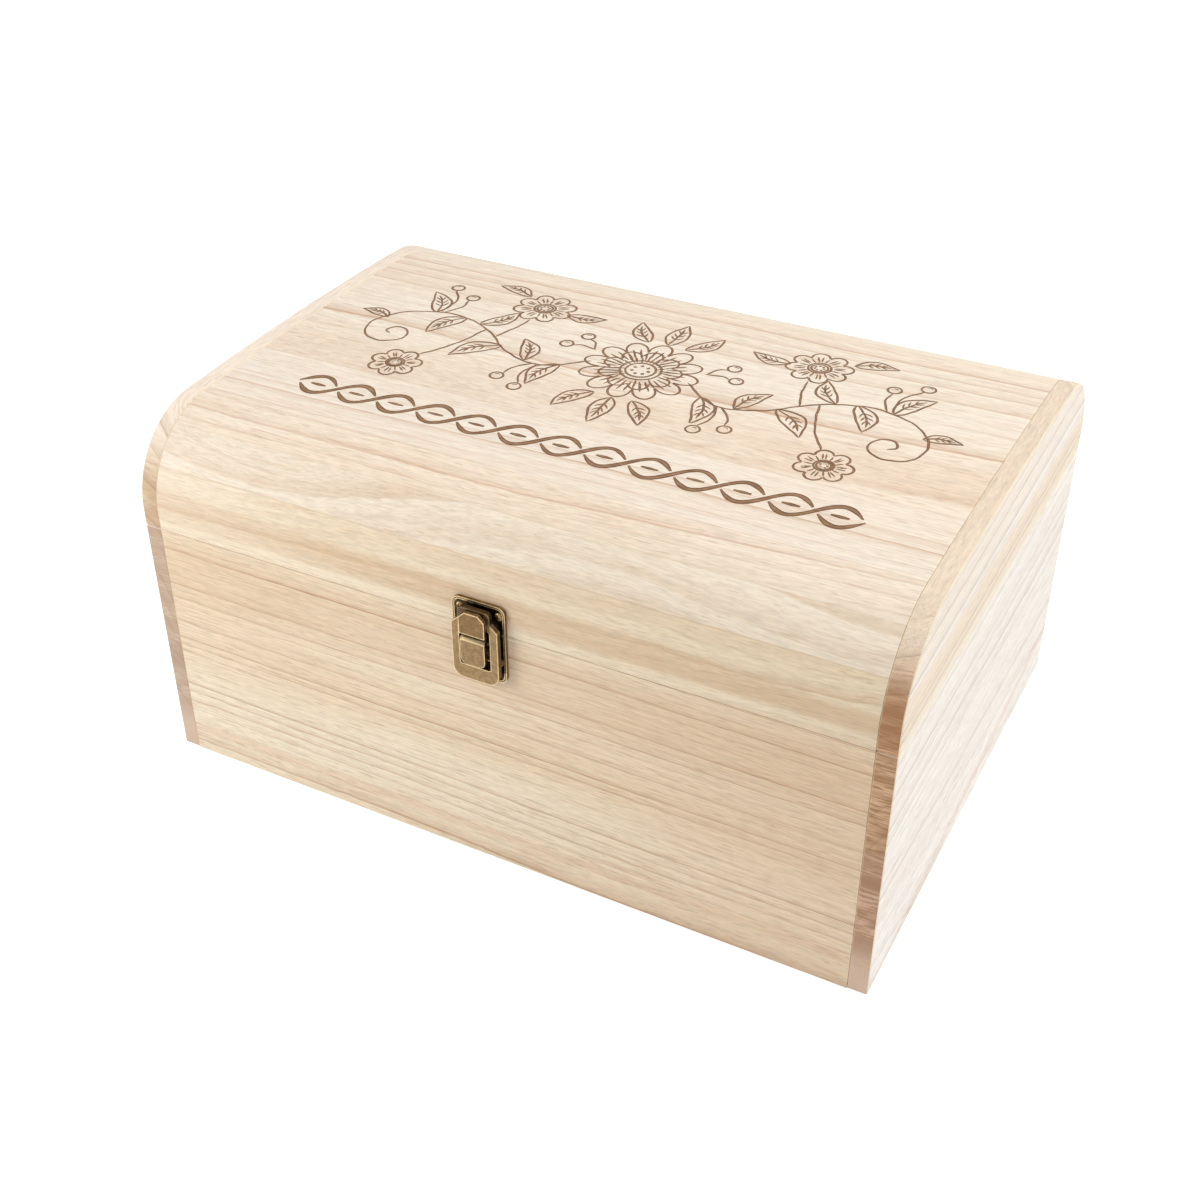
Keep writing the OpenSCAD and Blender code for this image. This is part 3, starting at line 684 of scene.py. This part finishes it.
easing = {
    "weld": 0.000002,      # corners this close are one
    "flatAngle": 0.5,      # degrees under which faces are merged into one
    "sharpAngle": 40,      # degrees over which an edge is eased
    "brassSteps": 4,
    "timberSteps": 3,
}


def dress(piece, look, ease):
    piece.data.materials.clear()
    piece.data.materials.append(materials[look])
    weld = piece.modifiers.new("weld", "WELD")
    weld.merge_threshold = easing["weld"]
    merge = piece.modifiers.new("mergeFlats", "DECIMATE")
    merge.decimate_type = "DISSOLVE"
    merge.angle_limit = math.radians(easing["flatAngle"])
    bevel = piece.modifiers.new("easedEdges", "BEVEL")
    bevel.width = ease
    bevel.segments = easing["brassSteps"] if look in brassLooks else easing["timberSteps"]
    bevel.limit_method = "ANGLE"
    bevel.angle_limit = math.radians(easing["sharpAngle"])


for name, piece in nodes.items():
    dress(piece, *finishes.get(name, plainFinish))
print("pieces dressed:", len(nodes))

# The photograph's base ends stand on square corners, so each is drawn again from its solid with
# the rounded lower corners filled out
squareEnds = {
    "boards": (
        ("left_end_board", "base_left_end", "leftEnds"),
        ("right_end_board", "base_right_end", "rightEnds"),
    ),
    "reach": 0.00402,      # the rounding ends this far from each corner
    "ease": 0.0008,
}


def makeSquareEnd(name, node, look, reach, ease):
    low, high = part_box(node)
    numbers, faces, corners = {}, [], []
    for vertex in nodes[node].data.vertices:
        x, y, z = vertex.co
        if z < low[2] + reach and y < low[1] + reach:
            y, z = low[1], low[2]
        elif z < low[2] + reach and y > high[1] - reach:
            y, z = high[1], low[2]
        place = (round(x, 6), round(y, 6), round(z, 6))
        corners.append(numbers.setdefault(place, len(numbers)))
    for polygon in nodes[node].data.polygons:
        face = [corners[number] for number in polygon.vertices]
        if len(set(face)) == len(face):
            faces.append(face)
    mesh = bpy.data.meshes.new(name)
    mesh.from_pydata(list(numbers), [], faces)
    board = bpy.data.objects.new(name, mesh)
    scene.collection.objects.link(board)
    dress(board, look, ease)
    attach(board, "base")
    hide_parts(node)


for name, node, look in squareEnds["boards"]:
    makeSquareEnd(name, node, look, squareEnds["reach"], squareEnds["ease"])
print("base ends made:", len(squareEnds["boards"]))

# The rolled edge that closes the lever's top between its two heads
leverBrow = {
    "axis": (-0.001, -0.1423, 0.13275),
    "halfWidth": 0.0027,
    "radii": (0.00215, 0.00288),
    "angles": (30, 90),      # degrees up from the front
    "steps": 12,
    "ease": 0.0001,
}


def makeLeverBrow(brow):
    points, faces = [], []
    middle = Vector(brow["axis"])
    low, high = (math.radians(angle) for angle in brow["angles"])
    for step in range(brow["steps"] + 1):
        angle = low + (high - low) * step / brow["steps"]
        for radius in brow["radii"]:
            for side in (-1, 1):
                forward, up = radius * math.cos(angle), radius * math.sin(angle)
                points.append(middle + Vector((side * brow["halfWidth"], -forward, up)))
    for step in range(brow["steps"]):
        here, there = 4 * step, 4 * step + 4
        for a, b in ((0, 1), (1, 3), (3, 2), (2, 0)):
            faces.append((here + a, here + b, there + b, there + a))
    last = 4 * brow["steps"]
    faces += [(0, 2, 3, 1), (last, last + 1, last + 3, last + 2)]
    mesh = bpy.data.meshes.new("lever_brow")
    mesh.from_pydata(points, [], faces)
    piece = bpy.data.objects.new("lever_brow", mesh)
    scene.collection.objects.link(piece)
    dress(piece, "leverBrass", brow["ease"])
    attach(piece, "latch_lever")


makeLeverBrow(leverBrow)
print("lever's edge made")

# The lid's engraving: a flower panel and, in front of it, a running border
carving = {
    "rim": 0.22,           # share of a line's width that is each darker rim
    "step": 0.0013,
    "lift": 0.00004,
    "layer": 0.0000008,    # lines that cross lie this far apart in height
    "layers": 40,
    "swayRates": (310, 730),
    "swaySeeds": (1.7, 2.9),
    "quickSway": 0.6,
    "swellRate": 190,
    "swell": 0.12,         # share of the width by which a line swells and thins
    "endWidth": 0.35,      # a line's width at its ends
    "endLength": 2.5,      # how many widths before its end a line starts to thin
    "sameSpot": 0.000001,
    "leastTurn": 1e-12,
}


# A smooth line through a few points
def smoothLine(points, perStretch=14):
    points = [np.array(point, float) for point in points]
    points = [2 * points[0] - points[1]] + points + [2 * points[-1] - points[-2]]
    track = []
    for a, b, c, d in zip(points, points[1:], points[2:], points[3:]):
        for t in np.linspace(0, 1, perStretch, endpoint=False):
            track.append(0.5 * (2 * b + (c - a) * t + (2 * a - 5 * b + 4 * c - d) * t ** 2
                                + (3 * b - a - 3 * c + d) * t ** 3))
    return np.array(track + [points[-2]])


def ringLine(middle, radius, count=40):
    turn = np.linspace(0, 2 * math.pi, count + 1)
    return np.array(middle) + radius * np.stack([np.cos(turn), np.sin(turn)], 1)


def heading(angle):
    return np.array([math.cos(angle), math.sin(angle)])


leafShape = {
    "points": 22,
    "bow": 0.12,
    "midribPoints": 18,
    "fullness": 0.2,       # half the width, as a share of the length
    "bluntness": 0.8,
    "veins": (6, 9, 12),   # the points of the midrib that they start at
    "veinReach": 3,        # points further on that they end beside
    "veinWidth": 0.62,
    "veinBend": 0.05,
}


# A leaf with a bent midrib and a few side veins
def leafLines(base, angle, length, bow=leafShape["bow"]):
    forward = heading(angle)
    sideways = heading(angle + math.pi / 2)
    t = np.linspace(0, 1, leafShape["points"])[:, None]
    midrib = np.array(base) + length * (t * forward + bow * np.sin(math.pi * t) * sideways)
    half = leafShape["fullness"] * length * np.sin(math.pi * t ** leafShape["bluntness"]) * sideways
    lines = [midrib + half, midrib - half, midrib[:leafShape["midribPoints"]]]
    for place in leafShape["veins"]:
        beside = place + leafShape["veinReach"]
        for side in (-1, 1):
            start = midrib[place]
            tip = midrib[beside] + side * leafShape["veinWidth"] * half[beside]
            middle = (start + tip) / 2 + side * leafShape["veinBend"] * half[place]
            lines.append(smoothLine([start, middle, tip], 4))
    return lines


# Reaches are shares of the flower's radius
flowerShape = {
    "pointsPerPetal": 16,
    "notch": 0.66,
    "roundness": 0.55,
    "crease": (0.36, 0.5, 0.66),
    "vein": (0.42, 0.58, 0.76),
    "veinLean": 0.09,      # radians to each side of the petal's middle
    "rings": ((0.34, 40), (0.25, 28)),
    "dots": 7,
    "dotRing": 0.14,
    "dotSize": 0.022,
}


def spoke(middle, radius, angle, reaches):
    return np.array([middle + reach * radius * heading(angle) for reach in reaches])


# A round flower: lobed outline, creases between the petals, veins and a dotted middle
def flowerLines(middle, radius, petals, turn=0.0):
    middle = np.array(middle)
    angle = np.linspace(0, 2 * math.pi, petals * flowerShape["pointsPerPetal"] + 1)
    lobes = np.abs(np.cos(petals * (angle - turn) / 2)) ** flowerShape["roundness"]
    reach = radius * (flowerShape["notch"] + (1 - flowerShape["notch"]) * lobes)
    lines = [middle + reach[:, None] * np.stack([np.cos(angle), np.sin(angle)], 1)]
    for number in range(petals):
        crease = turn + (number + 0.5) * 2 * math.pi / petals
        lines.append(spoke(middle, radius, crease, flowerShape["crease"]))
        for lean in (-flowerShape["veinLean"], flowerShape["veinLean"]):
            vein = turn + number * 2 * math.pi / petals + lean
            lines.append(spoke(middle, radius, vein, flowerShape["vein"]))
    for share, count in flowerShape["rings"]:
        lines.append(ringLine(middle, share * radius, count))
    for number in range(flowerShape["dots"]):
        away = flowerShape["dotRing"] * radius * heading(number * 2 * math.pi / flowerShape["dots"])
        lines.append(ringLine(middle + away, flowerShape["dotSize"] * radius, 10))
    return lines


berryShape = {"radius": 0.0034, "points": 24, "sag": 0.12, "shine": 0.55, "shineArc": (2, 9)}


def berryLines(stemStart, place):
    radius, points = berryShape["radius"], berryShape["points"]
    stemStart, place = np.array(stemStart), np.array(place)
    away = place - stemStart
    away = away / np.linalg.norm(away)
    sag = berryShape["sag"] * np.linalg.norm(place - stemStart) * np.array([-away[1], away[0]])
    stalk = smoothLine([stemStart, (stemStart + place) / 2 + sag, place - radius * away], 8)
    low, high = berryShape["shineArc"]
    shine = ringLine(place, berryShape["shine"] * radius, points)[low:high]
    return [stalk, ringLine(place, radius, points), shine]


# Places are measured from the panel's middle, and the side is drawn twice, mirrored. A leaf is its
# foot, direction in degrees, length and bow. A flower is its middle, radius, petals and turn.
flowerPanel = {
    "middle": (0.0, 0.018),
    "line": 0.0011,
    "unsteady": 0.00018,   # how far a hand-drawn line strays
    "heart": ((0, 0), 0.030, 12),
    "innerHeart": ((0, 0), 0.0205, 9, 0.2),
    "innerLines": 19,      # how many of the inner heart's lines are drawn
    "heartLeaves": (
        ((0, 0.031), 90, 0.026, 0.0), ((-0.010, 0.030), 122, 0.024, 0.1),
        ((0.010, 0.030), 58, 0.024, -0.1), ((0, -0.031), -90, 0.026, 0.0),
        ((-0.010, -0.030), -122, 0.024, -0.1), ((0.010, -0.030), -58, 0.024, 0.1),
    ),
    "stem": (
        (0.026, -0.002), (0.046, -0.017), (0.068, -0.012), (0.090, 0.006),
        (0.114, 0.014), (0.137, 0.006), (0.1475, -0.010), (0.1445, -0.0245), (0.1325, -0.0295),
        (0.1235, -0.0225), (0.1255, -0.0135), (0.1325, -0.0120), (0.1355, -0.0175), (0.1320, -0.0205),
    ),
    "leaves": (
        ((0.038, -0.012), -78, 0.026), ((0.056, -0.016), 62, 0.024), ((0.074, -0.007), -48, 0.028),
        ((0.096, 0.010), 118, 0.024), ((0.106, 0.013), -66, 0.026), ((0.124, 0.012), 58, 0.026),
        ((0.143, -0.004), 8, 0.018), ((0.062, 0.040), 168, 0.022), ((0.090, 0.052), 14, 0.022),
    ),
    "backStalk": ((0.082, 0.000), (0.078, 0.014), (0.076, 0.026)),
    "backFlower": ((0.076, 0.042), 0.0165, 8, 0.3),
    "frontFlower": ((0.112, -0.046), 0.0135, 7, 0.1),
    "frontStalk": ((0.090, 0.006), (0.096, -0.016), (0.106, -0.034)),
    "berries": (           # where the stalk starts and where the berry is
        ((0.030, 0.010), (0.040, 0.022)), ((0.030, 0.010), (0.046, 0.010)),
        ((0.120, 0.014), (0.116, 0.036)), ((0.122, 0.014), (0.130, 0.044)),
        ((0.050, -0.017), (0.060, -0.036)), ((0.048, -0.017), (0.047, -0.042)),
    ),
}


def sideLines(panel):
    lines = [smoothLine(panel["stem"])]
    for base, angle, length in panel["leaves"]:
        lines += leafLines(base, math.radians(angle), length)
    lines.append(smoothLine(panel["backStalk"]))
    lines += flowerLines(*panel["backFlower"])
    lines += flowerLines(*panel["frontFlower"])
    lines.append(smoothLine(panel["frontStalk"]))
    for start, place in panel["berries"]:
        lines += berryLines(start, place)
    return lines


def panelLines(panel):
    centre = np.array(panel["middle"])
    lines = flowerLines(*panel["heart"])
    lines += flowerLines(*panel["innerHeart"])[:panel["innerLines"]]
    for base, angle, length, bow in panel["heartLeaves"]:
        lines += leafLines(base, math.radians(angle), length, bow)
    for line in sideLines(panel):
        lines += [line, line * np.array([-1, 1])]
    return [line + centre for line in lines]


# Two strands that twist round each other, with a seed in each eye between them
twistBorder = {
    "row": -0.0635,
    "line": 0.0034,
    "strandWidth": 0.82,   # shares of the line
    "seedWidth": 0.95,
    "eyeLength": 0.0222,
    "eyeCount": 13,
    "swing": 0.0080,
    "gap": 0.0017,         # where a strand stops short of the one above it
    "points": 40,
    "halfSeed": 0.0042,
}


def borderLines(border):
    lines = []
    row, eye, swing, gap = border["row"], border["eyeLength"], border["swing"], border["gap"]
    last = border["eyeCount"] / 2
    for strand in (0, 1):
        # a strand runs from one crossing where it is below to the next such one
        crossings = range(-1, border["eyeCount"] + 1)
        for start in [crossing - last for crossing in crossings if (crossing + strand) % 2 == 0]:
            low = max(start * eye + gap, -last * eye)
            high = min((start + 2) * eye - gap, last * eye)
            if high <= low:
                continue
            place = np.linspace(low, high, border["points"])
            side = 1 if strand else -1
            wave = side * swing * np.sin(math.pi * (place / eye + last))
            lines.append((np.stack([place, row + wave], 1), border["strandWidth"]))
    for number in range(border["eyeCount"]):
        middle = (number + 0.5 - last) * eye
        half = border["halfSeed"]
        seed = smoothLine([(middle - half, row), (middle, row), (middle + half, row)], 8)
        lines.append((seed, border["seedWidth"]))
    return lines


# Even spacing, a slight stray and thinner ends, as a drawn line has
def drawLine(line, width, stray, seed):
    lengths = np.concatenate([[0], np.cumsum(np.linalg.norm(np.diff(line, axis=0), axis=1))])
    count = max(4, int(math.ceil(lengths[-1] / carving["step"])))
    place = np.linspace(0, lengths[-1], count + 1)
    track = np.stack([np.interp(place, lengths, line[:, axis]) for axis in (0, 1)], 1)
    closed = np.linalg.norm(line[0] - line[-1]) < carving["sameSpot"]
    waves = zip(carving["swayRates"], carving["swaySeeds"])
    slow, quick = [np.sin(place * rate + seed * share) for rate, share in waves]
    sway = slow + carving["quickSway"] * quick
    slope = np.gradient(track, axis=0)
    slope /= np.linalg.norm(slope, axis=1)[:, None]
    across = np.stack([-slope[:, 1], slope[:, 0]], 1)
    if closed:
        across[0] = across[-1] = (across[0] + across[-1]) / 2
    else:
        track = track + stray * sway[:, None] * across
    ends = np.minimum(place, lengths[-1] - place) / (carving["endLength"] * width)
    thin = carving["endWidth"]
    taper = np.ones(len(place)) if closed else thin + (1 - thin) * np.clip(ends, 0, 1)
    widths = width * taper * (1 + carving["swell"] * np.sin(place * carving["swellRate"] + seed))
    return track, across, widths


# True unless a tight turn has folded this face of the drawn line over
def turnsLeft(corners):
    for here, there, beyond in zip(corners, corners[1:] + corners[:1], corners[2:] + corners[:2]):
        first = (there[0] - here[0], there[1] - here[1])
        second = (beyond[0] - there[0], beyond[1] - there[1])
        if first[0] * second[1] - first[1] * second[0] < carving["leastTurn"]:
            return False
    return True


def makeEngraving(name, drawn):
    board = nodes["lid_top_board"]
    surface = BVHTree.FromObject(board, bpy.context.evaluated_depsgraph_get())
    toBoard = board.matrix_world.inverted()
    points, faces, rims = [], [], []
    for number, (track, across, widths) in enumerate(drawn):
        first = len(points)
        lift = carving["lift"] + carving["layer"] * (number % carving["layers"])
        sides = (-0.5, -0.5 + carving["rim"], 0.5 - carving["rim"], 0.5)
        for spot, aside, width in zip(track, across, widths):
            for side in sides:
                place = spot + aside * side * width
                hit = surface.ray_cast(toBoard @ Vector((place[0], place[1], 1)), Vector((0, 0, -1)))[0]
                points.append((place[0], place[1], (board.matrix_world @ hit).z + lift))
        for row in range(len(track) - 1):
            for column in range(3):
                corner = first + 4 * row + column
                face = (corner, corner + 4, corner + 5, corner + 1)
                if turnsLeft([points[index] for index in face]):
                    faces.append(face)
                    rims.append(column != 1)
    mesh = bpy.data.meshes.new(name)
    mesh.from_pydata(points, [], faces)
    mesh.materials.append(materials["scorchedFace"])
    # the rim faces are darker, partly painted shade of the groove's walls
    mesh.materials.append(materials["scorchAndGrooveShadeRim"])
    mesh.polygons.foreach_set("material_index", [int(rim) for rim in rims])
    piece = bpy.data.objects.new(name, mesh)
    scene.collection.objects.link(piece)
    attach(piece, "lid")
    print(name + ":", len(drawn), "lines,", len(faces), "faces")


makeEngraving("flower_panel", [
    drawLine(line, flowerPanel["line"], flowerPanel["unsteady"], number)
    for number, line in enumerate(panelLines(flowerPanel))
])
makeEngraving("twist_border", [
    drawLine(line, twistBorder["line"] * share, 0.0, number)
    for number, (line, share) in enumerate(borderLines(twistBorder))
])

studio = {
    "floorSide": 12.0,
    "floorColour": (0.86, 0.86, 0.86, 1.0),
    "floorLift": 0.58,       # makes the floor read as white without lighting the box
    "floorGap": 0.0002,      # the floor lies this far under the box
    "worldStrength": 0.5,
}

lamps = {
    "keyLight": {"place": (1.1, 0.2, 1.2), "size": 1.0, "power": 11.5},
    "frontLight": {"place": (-0.75, -0.72, 0.5), "size": 0.6, "power": 4.8},
    "backLight": {"place": (-0.5, 1.1, 1.2), "size": 1.4, "power": 4.0},
}


# 1 for what the camera sees straight, in a reflection or through glass
def seenByCamera(tree):
    ray = addNode(tree, "ShaderNodeLightPath")
    seen = calc(tree, "MAXIMUM", ray.outputs["Is Camera Ray"], ray.outputs["Is Glossy Ray"])
    return calc(tree, "MAXIMUM", seen, ray.outputs["Is Transmission Ray"])


def makeFloor():
    material, tree = startMaterial("floorPaint")
    seen = seenByCamera(tree)
    matt = addNode(tree, "ShaderNodeBsdfDiffuse", inputs={"Color": studio["floorColour"]})
    glow = addNode(tree, "ShaderNodeEmission", inputs={
        "Color": (1, 1, 1, 1), "Strength": calc(tree, "MULTIPLY", seen, studio["floorLift"]),
    })
    both = addNode(tree, "ShaderNodeAddShader", inputs={0: matt.outputs[0], 1: glow.outputs[0]})
    addNode(tree, "ShaderNodeOutputMaterial", inputs={"Surface": both.outputs[0]})
    half = studio["floorSide"] / 2
    mesh = bpy.data.meshes.new("floor")
    corners = [(-half, -half, 0), (half, -half, 0), (half, half, 0), (-half, half, 0)]
    mesh.from_pydata(corners, [], [(0, 1, 2, 3)])
    mesh.materials.append(material)
    floor = bpy.data.objects.new("floor", mesh)
    scene.collection.objects.link(floor)
    floor.location.z = cadBounds[0][2] - studio["floorGap"]


def makeWorld():
    world = bpy.data.worlds.new("studio")
    scene.world = world
    world.use_nodes = True
    tree = world.node_tree
    tree.nodes.clear()
    strength = spread(tree, seenByCamera(tree), 0.0, 1.0, studio["worldStrength"], 1.0)
    sky = addNode(tree, "ShaderNodeBackground", inputs={"Color": (1, 1, 1, 1), "Strength": strength})
    addNode(tree, "ShaderNodeOutputWorld", inputs={"Surface": sky.outputs[0]})


def makeLamp(name, lamp):
    data = bpy.data.lights.new(name, "AREA")
    data.shape = "DISK"
    data.size = lamp["size"]
    data.energy = lamp["power"]
    light = bpy.data.objects.new(name, data)
    scene.collection.objects.link(light)
    place = Vector(lamp["place"])
    light.location = place
    light.rotation_euler = (-place).to_track_quat("-Z", "Y").to_euler()


makeFloor()
makeWorld()
for name, lamp in lamps.items():
    makeLamp(name, lamp)
print("floor and light set")
